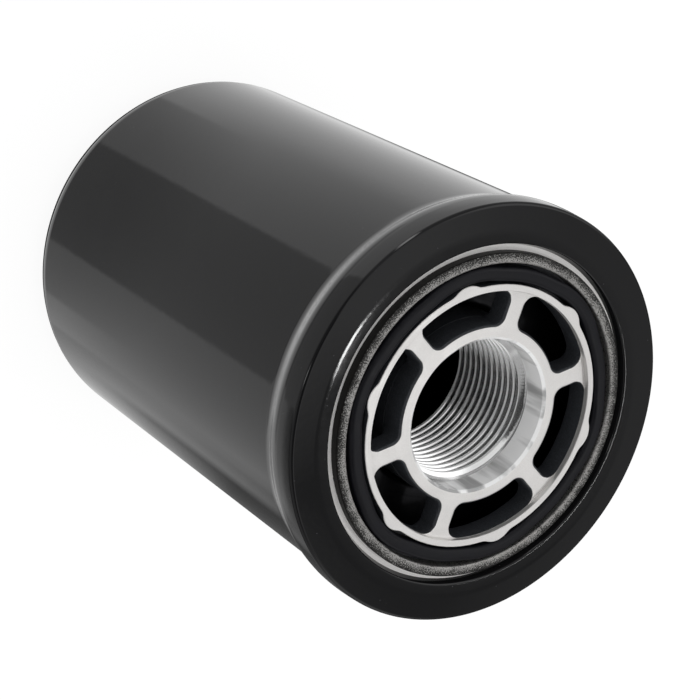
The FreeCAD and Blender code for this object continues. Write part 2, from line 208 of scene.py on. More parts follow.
class FilterStageSettings(bpy.types.PropertyGroup):
    """Camera and light."""
    camera_place: bpy.props.FloatVectorProperty(
        name="Camera place", description="Where the camera stands", size=3,
        default=(0.288392, -0.081607, 0.466181), subtype="TRANSLATION", unit="LENGTH")
    camera_turn: bpy.props.FloatVectorProperty(
        name="Camera turn", description="Angles of the camera", size=3,
        default=(math.radians(-21.8531), math.radians(-31.9458), math.radians(-159.0496)),
        subtype="EULER")
    lens: share("Lens", "Focal length in millimetres for a 36 mm sensor", 104.60357)
    view: turn("View azimuth", "Azimuth of the camera, from which the light is placed", -15.8)
    floor_size: size("Floor size", "Side of the floor", 6.0)
    floor_white: share("Floor white", "White that the floor shows the camera in full shadow", 0.90)
    floor_tone: share("Floor tone", "Colour of the floor under real light", 0.15)
    sky: share("Sky", "Strength of the even light on matt surfaces", 0.9)
    lamp_distance: size("Lamp distance", "Distance of the small lamp from the face", 0.5)
    lamp: share("Lamp", "Power of the small lamp behind the object, in watts", 0.10)


# The studio as glossy surfaces see it, in degrees: azimuth from the camera's own, half width,
# lower and upper edge, softness of the edges and brightness. Later cards cover earlier ones.
studio_cards = (
    # Pale table below, with a dimmer band toward the can
    (-58, 34, -61.5, -42, 8, 0.98),
    (75, 35, -61.5, -40, 4, 0.90),
    (0, 82, -64, -58.5, 1.5, 0.66),
    # Dark surroundings of the table, with two paler patches
    (95, 60, -47, -10, 2.5, 0.16),
    (120, 12, -55.5, -10, 5, 0.42),
    (164, 38, -56.5, -10, 4, 0.14),
    (135, 30, -70, -57, 1.5, 0.75),
    # Dim card below the camera
    (7.75, 36.75, -63, -10, 1.2, 0.56),
    (7.75, 36.75, -63, -58.5, 1.2, 0.38),
    # Dark wall behind the object, with a dim card above it
    (180, 41, -30, 29, 4, 0.16),
    (171, 9, 39, 58, 3, 0.20),
    # Dark ceiling over the camera and soft lights on both sides
    (50, 62, 37, 82, 6, 0.02),
    (-118, 24, 20, 58, 5, 1.4),
    (130, 18, 8, 40, 6, 0.9),
    # Dark room behind the camera, with two narrow bright strips beside it
    (0, 24, -8, 50, 5, 0.12),
    (-50, 5, -20, 25, 2, 4.5),
    (23, 4, 14, 30, 2, 4.0),
)
# Brightness of the rest by elevation, from the floor up to the ceiling
studio_rise = ((-90, 2.2), (-84, 1.7), (-78, 1.3), (-70, 1.05), (-62, 1.0), (-50, 1.22),
               (-42, 0.85), (-30, 0.7), (-12, 0.52), (0, 0.42), (32, 0.36), (40, 0.40),
               (47, 0.42), (52, 0.55), (57, 0.76), (90, 0.82))


def deselect_all():
    """Goes to object mode and leaves nothing selected."""
    if bpy.context.object and bpy.context.object.mode != "OBJECT":
        bpy.ops.object.mode_set(mode="OBJECT")
    bpy.ops.object.select_all(action="DESELECT")


def select_only(piece):
    """Leaves one piece selected and active, in object mode."""
    deselect_all()
    piece.select_set(True)
    bpy.context.view_layer.objects.active = piece


def pick_edges(piece, test):
    """Selects the edges of the edited piece that pass a test."""
    bpy.ops.mesh.select_mode(type="EDGE")
    bpy.ops.mesh.select_all(action="DESELECT")
    for edge in bmesh.from_edit_mesh(piece.data).edges:
        if test(edge):
            edge.select_set(True)
    bmesh.update_edit_mesh(piece.data)


def polar(radius, angle, height=0.0):
    """Point at an angle round the axis."""
    return Vector((radius * math.cos(angle), radius * math.sin(angle), height))


def radius_of(point):
    """Distance of a point from the axis."""
    return math.hypot(point.x, point.y)


def rounded(corners, rounds):
    """Points of a closed section through (radius, height) corners, each rounded."""
    points = []
    for i, corner in enumerate(corners):
        here = Vector(corner)
        to_before = (Vector(corners[i - 1]) - here).normalized()
        to_after = (Vector(corners[(i + 1) % len(corners)]) - here).normalized()
        if rounds[i] <= 0:
            points.append(here)
            continue
        half = to_before.angle(to_after) / 2
        centre = here + (to_before + to_after).normalized() * rounds[i] / math.sin(half)
        start = here + to_before * rounds[i] / math.tan(half) - centre
        sweep = start.angle_signed(here + to_after * rounds[i] / math.tan(half) - centre)
        steps = max(2, math.ceil(abs(sweep) / arc_step))
        for step in range(steps + 1):
            points.append(centre + Matrix.Rotation(-sweep * step / steps, 2) @ start)
    return points


def outline(height, arcs):
    """Points at one height along arcs, each without its last point. A row gives the distance
    and the angle of the arc's centre, then its radius, start, sweep and steps."""
    return [polar(away, angle) + polar(radius, start + sweep * step / steps, height)
            for away, angle, radius, start, sweep, steps in arcs for step in range(steps)]


def quarter(steps):
    """Shares of a rounding's radius that are missing across and along it, from end to end."""
    leans = [math.pi / 2 * step / steps for step in range(steps + 1)]
    return [(1 - math.cos(lean), 1 - math.sin(lean)) for lean in leans]


def placed_circle(name, points):
    """Circle whose vertices are moved to the points in turn, left selected in edit mode."""
    deselect_all()
    bpy.ops.mesh.primitive_circle_add(vertices=len(points), radius=rim_radius)
    piece = bpy.context.object
    piece.name = name
    piece.data.name = name
    for vertex, point in zip(piece.data.vertices, points):
        vertex.co = point
    bpy.ops.object.mode_set(mode="EDIT")
    bpy.ops.mesh.select_all(action="SELECT")
    return piece


def cleaned(piece):
    """Merges doubles, drops loose edges and turns the faces outwards, then leaves edit mode."""
    bpy.ops.mesh.select_all(action="SELECT")
    bpy.ops.mesh.remove_doubles(threshold=weld_distance)
    bpy.ops.mesh.delete_loose()
    bpy.ops.mesh.select_all(action="SELECT")
    bpy.ops.mesh.normals_make_consistent(inside=False)
    bpy.ops.object.mode_set(mode="OBJECT")
    return piece


def turned(name, corners, rounds=None):
    """Piece turned round the axis from a section, whose corners are sharp unless rounded."""
    points = rounded(corners, rounds or [0.0] * len(corners))
    piece = placed_circle(name, [Vector((point.x, 0, point.y)) for point in points])
    bpy.ops.mesh.spin(steps=turning_steps, angle=2 * math.pi, center=(0, 0, 0), axis=(0, 0, 1))
    return cleaned(piece)


def skinned(name, loops, closed):
    """Piece whose skin is extruded through loops of points that each have the same count."""
    piece = placed_circle(name, loops[0])
    for before, after in zip(loops, loops[1:] + loops[:1] if closed else loops[1:]):
        bpy.ops.mesh.extrude_edges_move()
        mesh = bmesh.from_edit_mesh(piece.data)
        targets = {tuple(round(c / weld_distance) for c in a): b for a, b in zip(before, after)}
        for vertex in mesh.verts:
            if vertex.select:
                vertex.co = targets[tuple(round(c / weld_distance) for c in vertex.co)]
        bmesh.update_edit_mesh(piece.data)
    if not closed:
        for height in (loops[0][0].z, loops[-1][0].z):
            pick_edges(piece, lambda edge: edge.is_boundary
                       and abs(edge.verts[0].co.z - height) < weld_distance)
            bpy.ops.mesh.edge_face_add()
    return cleaned(piece)


def with_modifier(piece, kind, **settings):
    """Adds a modifier to a piece, sets it and applies it."""
    select_only(piece)
    bpy.ops.object.modifier_add(type=kind)
    modifier = piece.modifiers[-1]
    for key, value in settings.items():
        setattr(modifier, key, value)
    bpy.ops.object.modifier_apply(modifier=modifier.name)
    return piece


def combined(piece, tool, operation):
    """Boolean of a piece with a tool, which is used up."""
    with_modifier(piece, "BOOLEAN", object=tool, operation=operation, solver="EXACT")
    bpy.data.objects.remove(tool)
    return piece


def copied_round(piece, count):
    """One object made of copies of a piece, evenly turned round the axis."""
    copies = []
    for i in range(1, count):
        select_only(piece)
        bpy.ops.object.duplicate()
        copies.append(bpy.context.object)
        copies[-1].data.transform(Matrix.Rotation(2 * math.pi * i / count, 4, "Z"))
    select_only(piece)
    for copy in copies:
        copy.select_set(True)
    bpy.ops.object.join()
    return piece


def smoothed(piece, degrees):
    """Smooth shading up to an angle, with normals that follow the larger faces."""
    select_only(piece)
    bpy.ops.object.shade_smooth_by_angle(angle=math.radians(degrees))
    return with_modifier(piece, "WEIGHTED_NORMAL", keep_sharp=True)


def coated(piece, *materials):
    """Gives a piece its materials, in the order of its slots."""
    piece.data.materials.clear()
    for material in materials:
        piece.data.materials.append(material)


def painted(piece, index, test):
    """Gives the faces that pass a test one of the piece's material slots."""
    for face in piece.data.polygons:
        if test(face):
            face.material_index = index


def installed(piece, slot_name, *nodes):
    """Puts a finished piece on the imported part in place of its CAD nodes."""
    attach(piece, "root")
    if nodes:
        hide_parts(*nodes)
    return piece


# Materials
def new_material(name, base, metallic, roughness, **sockets):
    """Material with its constants on the shader's own sockets, and its object coordinates."""
    material = bpy.data.materials.new(name)
    material.use_nodes = True
    shader = material.node_tree.nodes["Principled BSDF"]
    shader.inputs["Base Color"].default_value = (*base, 1)
    shader.inputs["Metallic"].default_value = metallic
    shader.inputs["Roughness"].default_value = roughness
    for key, value in sockets.items():
        shader.inputs[key.replace("_", " ")].default_value = value
    return material, place_of(material)


def node(tree, kind, settings=None, **inputs):
    """Shader node with its inputs set to numbers or linked to other nodes' sockets."""
    made = tree.nodes.new("ShaderNode" + kind)
    for key, value in (settings or {}).items():
        setattr(made, key, value)
    for key, value in inputs.items():
        numbered = key[0] == "i" and key[1:].isdigit()
        socket = made.inputs[int(key[1:]) if numbered else key]
        if isinstance(value, bpy.types.NodeSocket):
            tree.links.new(value, socket)
        else:
            socket.default_value = value
    return made


def linked(kind, settings=None, **inputs):
    """Shader node in the tree of the sockets that it is linked to."""
    sockets = [value for value in inputs.values() if isinstance(value, bpy.types.NodeSocket)]
    return node(sockets[0].id_data, kind, settings, **inputs)


def maths(operation, first, second=0.0, third=0.0):
    """Result of a sum on up to three numbers or sockets."""
    settings = {"operation": operation}
    return linked("Math", settings, i0=first, i1=second, i2=third).outputs[0]


def place_of(material):
    """Object coordinates."""
    return node(material.node_tree, "TexCoord").outputs["Object"]


def lathe_place(place):
    """The same place with the radius as X and the height as Z, for patterns that run round."""
    parts = linked("SeparateXYZ", Vector=place).outputs
    squares = maths("ADD", maths("MULTIPLY", parts["X"], parts["X"]),
                    maths("MULTIPLY", parts["Y"], parts["Y"]))
    return linked("CombineXYZ", X=maths("SQRT", squares), Z=parts["Z"]).outputs[0]


def radius_at(place):
    """Distance of a place from the axis."""
    return linked("SeparateXYZ", Vector=lathe_place(place)).outputs["X"]


def noise(place, grain, detail=2.0, roughness=0.5):
    """Noise whose grain is given as a length."""
    return linked("TexNoise", Vector=place, Scale=1 / grain, Detail=detail,
                  Roughness=roughness).outputs["Fac"]


def ramp(factor, low, high, to_low, to_high):
    """Maps a range of a factor on another range."""
    made = linked("MapRange", Value=factor)
    limits = {"From Min": low, "From Max": high, "To Min": to_low, "To Max": to_high}
    for key, value in limits.items():
        made.inputs[key].default_value = value
    return made.outputs["Result"]


def between(pattern, low, high):
    """Number that a noise pattern moves from low to high."""
    return ramp(pattern, *noise_range, low, high)


def blend(factor, first, second):
    """Mix of two colours by a factor."""
    made = linked("Mix", {"data_type": "RGBA"}, Factor=factor)
    made.inputs[6].default_value = (*first, 1)
    made.inputs[7].default_value = (*second, 1)
    return made.outputs[2]


def tinted(base, factor):
    """Colour made lighter or darker."""
    return tuple(min(1.0, part * factor) for part in base)


def toned(base, pattern, low, high, first, second):
    """Base colour times a factor, which goes from first to second between a pattern's limits."""
    share_of_way = ramp(pattern, low, high, 0.0, 1.0)
    return blend(share_of_way, tinted(base, first), tinted(base, second))


def feed(material, **values):
    """Links sockets to the material's shader."""
    shader = material.node_tree.nodes["Principled BSDF"]
    for key, value in values.items():
        material.node_tree.links.new(value, shader.inputs[key.replace("_", " ")])
    return material


def bump(height, distance, strength=1.0):
    """Bump from a height pattern, with its real depth."""
    return linked("Bump", Height=height, Distance=distance, Strength=strength).outputs[0]


def finished(material, tone, polish, roughness, height, depth, strength=1.0):
    """Feeds a tone, a roughness that follows a noise pattern, and a bump of a real depth."""
    return feed(material, Base_Color=tone, Roughness=between(polish, *roughness),
                Normal=bump(height, depth, strength))


def paint_material(colours):
    """Gloss black stoving paint with a faint flow texture and a little dust."""
    material, place = new_material("gloss_black_paint", colours.paint, 0.0, 0.07, IOR=1.4)
    dust_spacing, dust_light, dust_roughness = 3.2 * mm, 6.0, 0.25
    dust = linked("TexVoronoi", {"feature": "F1"}, Vector=place, Scale=1 / dust_spacing)
    speck = ramp(dust.outputs["Distance"], 0.03, 0.045, 1.0, 0.0)
    haze = between(noise(place, 9.0 * mm, 3.0), 0.045, 0.085)
    rough = maths("MULTIPLY_ADD", speck, dust_roughness, haze)
    flow = noise(place, 1.6 * mm, 1.0)
    tone = blend(speck, colours.paint, tinted(colours.paint, dust_light))
    return feed(material, Base_Color=tone, Roughness=rough,
                Normal=bump(flow, 0.006 * mm))


def face_material(colours):
    """Turned aluminium face, matt and bright."""
    material, place = new_material("machined_aluminium", colours.face, 0.75, 0.42)
    lines = noise(lathe_place(place), 0.11 * mm, 3.0, 0.65)
    grain = noise(place, 0.22 * mm, 3.0, 0.7)
    cloud = noise(place, 6.0 * mm)
    grain_height = 0.7
    height = maths("MULTIPLY_ADD", grain, grain_height, lines)
    rough = maths("ADD", between(lines, 0.36, 0.50), between(cloud, -0.03, 0.03))
    return feed(material, Roughness=rough, Normal=bump(height, 0.006 * mm),
                Base_Color=toned(colours.face, grain, 0.3, 0.75, 0.93, 1.06))


def lit_seat_material(colours):
    """Turned top of the retainer ring's foot, with a fine grain, painted lighter than the face and
    mostly matt as painted light, so that it shows bright in the shade of the lip and the ring.
    """
    material, place = new_material("turned_steel_painted_light", tinted(colours.face, 1.15), 0.1, 0.36)
    grain = noise(place, 0.25 * mm, 3.0, 0.7)
    tone = toned(colours.face, grain, 0.3, 0.75, 1.08, 1.24)
    return finished(material, tone, grain, (0.32, 0.42), grain, 0.004 * mm)


def counterbore_material(colours):
    """Bright counterbore with fine tool lines, and upright streaks of lighter and darker tone as
    painted reflections of the turned bore.
    """
    material, place = new_material("bright_counterbore", colours.bore, 0.1, 0.2)
    lines = noise(lathe_place(place), 0.16 * mm, 2.0, 0.6)
    upright = (1, 1, 0.12)
    tall = linked("Mapping", Vector=place, Scale=upright).outputs[0]
    # Painted reflections: the tone streaks run up the bore, lighter and darker.
    painted_streaks = noise(tall, 5.0 * mm, 3.0, 0.5)
    tone = toned(colours.bore, painted_streaks, 0.42, 0.55, 0.50, 1.16)
    return finished(material, tone, lines, (0.12, 0.24), lines, 0.004 * mm)


def bore_material(colours):
    """Polished aluminium of the thread, with fine tool lines."""
    material, place = new_material("polished_aluminium", colours.bore, 0.95, 0.12, Anisotropic=0.4,
                                   Anisotropic_Rotation=0.25)
    lines = noise(lathe_place(place), 0.14 * mm, 2.0, 0.6)
    smear = noise(place, 3.0 * mm)
    rough = maths("ADD", between(lines, 0.08, 0.15), ramp(smear, 0.35, 0.7, -0.02, 0.04))
    wrap = {"direction_type": "RADIAL", "axis": "Z"}
    around = node(material.node_tree, "Tangent", wrap).outputs[0]
    return feed(material, Roughness=rough, Tangent=around,
                Normal=bump(lines, 0.005 * mm))


def crest_highlight_material(colours):
    """Thread crests made a bright matt white as a painted highlight, for the light that they
    reflect, with faint patches of tone.
    """
    material, place = new_material("crest_painted_highlight", tinted(colours.bore, 1.14), 0.0, 0.4)
    patches = noise(place, 2.0 * mm)
    tone = toned(colours.bore, patches, 0.3, 0.6, 1.05, 1.14)
    return finished(material, tone, patches, (0.34, 0.46), patches, 0.003 * mm)


def casting_material(colours):
    """Dark coated casting with a sandy grain."""
    material, place = new_material("dark_coated_casting", colours.casting, 0.0, 0.42, IOR=1.4)
    grain = noise(place, 0.35 * mm, 4.0, 0.65)
    lump = noise(place, 1.8 * mm)
    lump_height = 1.5
    height = maths("MULTIPLY_ADD", lump, lump_height, grain)
    tone = toned(colours.casting, grain, 0.45, 0.75, 1.0, 2.2)
    return finished(material, tone, lump, (0.34, 0.52), height, 0.05 * mm, 0.8)


def ring_material(colours):
    """Dull steel with a dense dark and light speckle, and painted light across its top: lighter
    toward its inner edge and darker toward its outer edge.
    """
    material, place = new_material("speckled_steel", colours.ring, 0.85, 0.45)
    grain = noise(place, 0.30 * mm, 2.0, 0.8)
    patch = noise(place, 2.5 * mm, 2.0, 0.6)
    patch_share = 0.25
    # Painted highlight and shade: the tone rises toward the ring's inner edge and falls toward its
    # outer edge, as the light falls on its rounded top.
    painted_light_ramp = ramp(radius_at(place), 35.5 * mm, 37.4 * mm, 0.08, -0.11)
    lit_grain = maths("ADD", grain, painted_light_ramp)
    mixed = maths("MULTIPLY_ADD", patch, patch_share, lit_grain)
    tone = toned(colours.ring, mixed, 0.59, 0.69, 0.10, 1.6)
    return finished(material, tone, grain, (0.36, 0.56), grain, 0.03 * mm)


def shaded_wall_material():
    """Near black painted shade on the retainer ring's outer wall, which lies in the shadow of the
    can's lip, with a faint mottle.
    """
    base = (0.007, 0.0065, 0.006)
    material, place = new_material("ring_wall_painted_shade", base, 0.0, 0.45, Specular_IOR_Level=0.15)
    mottle = noise(place, 0.4 * mm, 4.0, 0.7)
    tone = toned(base, mottle, 0.5, 0.8, 1.0, 3.0)
    return finished(material, tone, mottle, (0.35, 0.6), mottle, 0.02 * mm)


def rubber_material(name, base):
    """Moulded rubber with a soft sheen and a fine skin."""
    material, place = new_material(name, base, 0.0, 0.42, IOR=1.4, Specular_IOR_Level=0.28)
    skin = noise(place, 0.3 * mm, 3.0, 0.6)
    smear = noise(place, 4.0 * mm, 3.0)
    tone = toned(base, smear, 0.4, 0.8, 1.0, 1.6)
    return finished(material, tone, smear, (0.36, 0.50), skin, 0.01 * mm)


def plated_shade_material():
    """Zinc plated sheet, rough with oil, its colour made nearly black as painted shade for the
    dark inside of the can.
    """
    base = (0.014, 0.014, 0.015)
    material, place = new_material("plated_sheet_painted_shade", base, 1.0, 0.45)
    spangle = noise(place, 2.2 * mm, 3.0)
    brush = noise(lathe_place(place), 0.3 * mm)
    tone = toned(base, spangle, *noise_range, 1.0, 1.5)
    return finished(material, tone, brush, (0.32, 0.5), brush, 0.008 * mm)


def medium_material():
    """Felted glass fibre medium."""
    base = (0.72, 0.66, 0.50)
    material, place = new_material("glass_fibre_medium", base, 0.0, 0.85)
    fibre = noise(place, 0.18 * mm, 5.0, 0.75)
    cloud = noise(place, 3.0 * mm, 3.0)
    return feed(material, Normal=bump(fibre, 0.05 * mm),
                Base_Color=toned(base, cloud, *noise_range, 1.0, 0.86))


def mesh_material():
    """Woven wire, with its crossing wires as a fine height pattern."""
    base = (0.42, 0.41, 0.38)
    waves_round, waves_up = 1400.0, 12000.0
    material, place = new_material("woven_wire", base, 1.0, 0.35)
    parts = linked("SeparateXYZ", Vector=place).outputs
    angle = maths("ARCTAN2", parts["Y"], parts["X"])
    waves = [maths("SINE", maths("MULTIPLY", along, count))
             for along, count in ((angle, waves_round), (parts["Z"], waves_up))]
    weave = maths("MAXIMUM", *waves)
    return feed(material, Normal=bump(weave, 0.05 * mm),
                Base_Color=toned(base, weave, -0.4, 0.8, 0.2, 1.0))


def adhesive_material():
    """Cured amber adhesive."""
    base = (0.30, 0.16, 0.05)
    material, place = new_material("cured_adhesive", base, 0.0, 0.3)
    ripple = noise(place, 1.2 * mm)
    tone = toned(base, ripple, 0.0, 1.0, 1.0, 1.5)
    return finished(material, tone, ripple, (0.22, 0.4), ripple, 0.05 * mm)


def spring_material():
    """Oiled spring wire with drawing lines."""
    base = (0.22, 0.21, 0.20)
    material, place = new_material("spring_wire", base, 1.0, 0.3)
    scale = noise(place, 0.5 * mm, 3.0)
    tone = toned(base, scale, *noise_range, 0.7, 1.0)
    return finished(material, tone, scale, (0.25, 0.42), scale, 0.01 * mm)


class FILTER_OT_can(bpy.types.Operator):
    """Turn the painted can with its pressed base, flared rim and rounded lip"""
    bl_idname = "filter_build.can"
    bl_label = "Can"

    def execute(self, context):
        """Offsets the outer skin by the wall and turns both round the axis."""
        s = context.scene.filter_can
        slope_run = s.panel_depth / math.tan(s.panel_slope)
        flare = (s.rim - s.body) / 2 / math.tan(s.flare_slope)
        flare_height = face_height - s.rim_height
        skin = [
            ((0.0, s.panel_depth), 0.0),
            ((s.panel, s.panel_depth), s.panel_bend),
            ((s.panel + slope_run, 0.0), s.panel_bend),
            ((s.body, 0.0), s.base_corner),
            ((s.body, flare_height - flare), s.flare_bend),
            ((s.rim, flare_height + flare), s.flare_bend),
            ((s.rim, face_height - s.lean_height), s.lean_bend),
            ((s.rim - s.rim_lean, face_height - s.rim_drop), s.rim_corner),
            ((s.crease, face_height), s.crease_bend),
            ((s.lip, face_height - s.lip_drop), s.lip_round),
        ]
        path = [Vector(corner) for corner, _ in skin]
        bends = [bend for _, bend in skin]
        inner = []
        inner_bends = []
        for i, here in enumerate(path):
            before = here - path[i - 1] if i > 0 else path[1] - here
            after = path[i + 1] - here if i + 1 < len(path) else before
            left_before = Vector((-before.y, before.x)).normalized()
            left_after = Vector((-after.y, after.x)).normalized()
            middle = (left_before + left_after).normalized()
            inner.append(here + middle * (s.wall / middle.dot(left_before)))
            bend = bends[i] if i + 1 < len(path) else 0.0
            change = -s.wall if after.dot(left_before) > 0 else s.wall
            inner_bends.append(max(0.0, bend + change) if bend > 0 else 0.0)
        inner[-1] = inner[-1] + (path[-1] - path[-2]).normalized() * s.lip_lean
        piece = turned("can_shell", path + inner[::-1], bends + inner_bends[::-1])
        coated(piece, paint_material(context.scene.filter_colours))
        installed(smoothed(piece, degrees=35), "can_paint", "filter_can")
        return {"FINISHED"}


def lobed_points(base, tip, lobe_round, lobe_fillet, count, height):
    """Outline of a circle with a rounded lobe at the middle of each port."""
    fillet_steps, lobe_steps, base_steps = 8, 16, 12
    centre_radius = tip - lobe_round
    reach = base + lobe_fillet
    span = lobe_round + lobe_fillet
    flank = math.acos((reach ** 2 + centre_radius ** 2 - span ** 2) / (2 * reach * centre_radius))
    fillet_turn = math.acos((reach ** 2 + span ** 2 - centre_radius ** 2) / (2 * reach * span))
    pitch = 2 * math.pi / count
    lobe_half = flank + fillet_turn
    arcs = []
    for i in range(count):
        middle = i * pitch
        arcs += [
            (reach, middle - flank, lobe_fillet, middle - flank + math.pi, -fillet_turn,
             fillet_steps),
            (centre_radius, middle, lobe_round, middle - lobe_half, 2 * lobe_half, lobe_steps),
            (reach, middle + flank, lobe_fillet, middle + flank + math.pi + fillet_turn,
             -fillet_turn, fillet_steps),
            (0.0, 0.0, base, middle + flank, pitch - 2 * flank, base_steps),
        ]
    return outline(height, arcs)


def port_points(s, height, side_grow, inner_grow, outer_grow):
    """Outline of one kidney port on +X, grown on its sides, inner wall and outer wall."""
    outer_steps, inner_steps, fillet_steps = 40, 30, 10
    half = s.spoke / 2 - side_grow
    outer = s.port - s.port_gap + outer_grow
    inner = s.hub + s.port_gap - inner_grow
    outer_fillet = s.port_outer_fillet + side_grow
    inner_fillet = s.port_inner_fillet + side_grow
    spoke_angle = math.pi / s.ports
    outer_lean = math.asin((half + outer_fillet) / (outer - outer_fillet))
    inner_lean = math.asin((half + inner_fillet) / (inner + inner_fillet))
    outer_turn = spoke_angle - outer_lean
    inner_turn = spoke_angle - inner_lean
    right_angle = math.pi / 2
    outer_sweep = right_angle + outer_lean
    inner_sweep = right_angle - inner_lean
    outer_away = outer - outer_fillet
    inner_away = inner + inner_fillet
    return outline(height, [
        (0.0, 0.0, outer, -outer_turn, 2 * outer_turn, outer_steps),
        (outer_away, outer_turn, outer_fillet, outer_turn, outer_sweep, fillet_steps),
        (inner_away, inner_turn, inner_fillet, spoke_angle + right_angle, inner_sweep,
         fillet_steps),
        (0.0, 0.0, inner, inner_turn, -2 * inner_turn, inner_steps),
        (inner_away, -inner_turn, inner_fillet, math.pi - inner_turn, inner_sweep, fillet_steps),
        (outer_away, -outer_turn, outer_fillet, -spoke_angle - right_angle, outer_sweep,
         fillet_steps),
    ])


class FILTER_OT_head(bpy.types.Operator):
    """Turn the cast head, raise its lobed ring and cut its kidney ports"""
    bl_idname = "filter_build.head"
    bl_label = "Head"

    def execute(self, context):
        """Body, ring and ports are combined, then each face gets its finish by its place."""
        s = context.scene.filter_head
        spoke_face = face_height - s.spoke_step
        port_floor = spoke_face - s.spoke_depth
        bore = s.thread_radius + s.counterbore_gap
        thread_top = spoke_face - s.counterbore
        hub_end = thread_top - s.thread_length
        section = [
            ((s.thread_radius, hub_end), 0.0),
            ((s.thread_radius, thread_top - s.counterbore_gap), 0.0),
            ((bore, thread_top), 0.0),
            ((bore, spoke_face - s.bore_chamfer), 0.0),
            ((bore + s.bore_chamfer, spoke_face), 0.0),
            ((s.ring_body, spoke_face), 0.0),
            ((s.ring_body, seat_height), 0.0),
            ((s.flange_seat, seat_height), 0.0),
            ((s.flange_seat, s.flange_top), 0.0),
            ((s.flange, s.flange_top), s.bore_chamfer),
            ((s.flange, s.flange_edge), 0.0),
            ((s.flange_foot, s.flange_under), 0.0),
            ((s.flange_inner + s.flange_slope, s.flange_under), s.casting_fillet),
            ((s.flange_inner, port_floor), s.casting_fillet),
            ((s.hub, port_floor), s.casting_fillet),
            ((s.hub, hub_end + s.hub_chamfer), 0.0),
            ((s.hub - s.hub_chamfer, hub_end), 0.0),
        ]
        piece = turned("head_casting", *zip(*section))
        ring_levels = ((seat_height - s.spoke_step, 0.0), (face_height - s.ring_edge, 0.0),
                       (face_height, s.ring_edge))
        ring = skinned("lobed_ring", [
            lobed_points(s.ring - inset, s.lobe_tip - inset, s.lobe_round - inset,
                         s.lobe_fillet + inset, s.ports, height)
            for height, inset in ring_levels], False)
        core_top = face_height + s.ring_edge
        core = turned("ring_core", [
            (0.0, 0.0), (s.port, 0.0), (s.port, face_height - s.ring_edge),
            (s.port + 2 * s.ring_edge, core_top), (0.0, core_top)])
        combined(piece, combined(ring, core, "DIFFERENCE"), "UNION")
        loops = [port_points(s, face_height + s.spoke_step, s.port_mouth, s.port_mouth, 0.0)]
        edge_steps = 5
        for across, along in quarter(edge_steps):
            grow = s.port_mouth * along
            loops.append(port_points(s, spoke_face - s.port_mouth * across, grow, grow, 0.0))
        for across, along in quarter(edge_steps):
            grow = s.port_foot * across
            loops.append(port_points(s, port_floor + s.port_foot * along, grow, 0.0, grow))
        loops.append(port_points(s, port_floor - s.port_foot, s.port_foot, 0.0, s.port_foot))
        ports = copied_round(skinned("ports", loops, False), s.ports)
        combined(piece, ports, "DIFFERENCE")
        colours = context.scene.filter_colours
        coated(piece, casting_material(colours), face_material(colours),
               bore_material(colours), counterbore_material(colours))
        margin = 0.02 * mm
        mouth = bore + s.bore_chamfer
        painted(piece, 0, lambda face: True)
        painted(piece, 1, lambda face: face.center.z > spoke_face - margin
                and (face.normal.z > facing_up or radius_of(face.center) > s.port - margin))
        painted(piece, 1, lambda face: face.center.z > seat_height + margin
                and radius_of(face.center) > s.ring_body and face.normal.z > leaning_up)
        painted(piece, 2, lambda face: radius_of(face.center) < mouth
                and face.center.z < spoke_face - margin)
        painted(piece, 3, lambda face: radius_of(face.center) < mouth
                and thread_top - margin < face.center.z < spoke_face - margin)
        installed(smoothed(piece, degrees=30), "head_aluminium", "filter_head")
        return {"FINISHED"}


class FILTER_OT_thread(bpy.types.Operator):
    """Wind the thread's ridge up the hub and chamfer both its ends"""
    bl_idname = "filter_build.thread"
    bl_label = "Thread"

    def execute(self, context):
        """The ridge is wound past both ends and then cut to the chamfered bore."""
        s = context.scene.filter_head
        thread_top = face_height - s.spoke_step - s.counterbore
        hub_end = thread_top - s.thread_length
        crest = s.thread_radius - s.thread_depth
        half_crest = s.thread_pitch * crest_share / 2
        half_root = s.thread_pitch * root_share / 2
        turns = math.ceil(s.thread_length / s.thread_pitch) + 1
        rise = s.thread_pitch * turns
        start = (thread_top + hub_end) / 2 - rise / 2
        bed = s.thread_radius + s.thread_bed
        profile = [(crest, -half_crest), (s.thread_radius, -half_root), (bed, -half_root),
                   (bed, half_root), (s.thread_radius, half_root), (crest, half_crest)]
        piece = placed_circle("hub_thread", [Vector((r, 0, start + z)) for r, z in profile])
        bpy.ops.mesh.edge_face_add()
        bpy.ops.object.mode_set(mode="OBJECT")
        steps = thread_steps * turns
        with_modifier(piece, "SCREW", angle=2 * math.pi * turns, screw_offset=rise, steps=steps,
                      render_steps=steps, axis="Z", use_merge_vertices=False)
        select_only(piece)
        bpy.ops.object.mode_set(mode="EDIT")
        pick_edges(piece, lambda edge: edge.is_boundary)
        bpy.ops.mesh.edge_face_add()
        cleaned(piece)
        bore = s.thread_radius + s.counterbore_gap
        chamfer = bore - crest + s.thread_bed
        blank = turned("thread_blank", [
            (crest - s.thread_bed, hub_end + s.hub_chamfer + s.thread_bed),
            (crest - s.thread_bed, thread_top - chamfer), (bore, thread_top),
            (bore + s.thread_bed, thread_top), (bore + s.thread_bed, hub_end),
            (crest + s.hub_chamfer, hub_end)])
        combined(piece, blank, "INTERSECT")
        coated(piece, bpy.data.materials["polished_aluminium"],
               crest_highlight_material(context.scene.filter_colours))
        # Slot 1 paints the highlight on the thread's crests.
        painted(piece, 1, lambda face: radius_of(face.center) < crest + s.thread_bed
                and abs(face.normal.z) < leaning_up)
        installed(smoothed(piece, degrees=30), "head_aluminium")
        return {"FINISHED"}


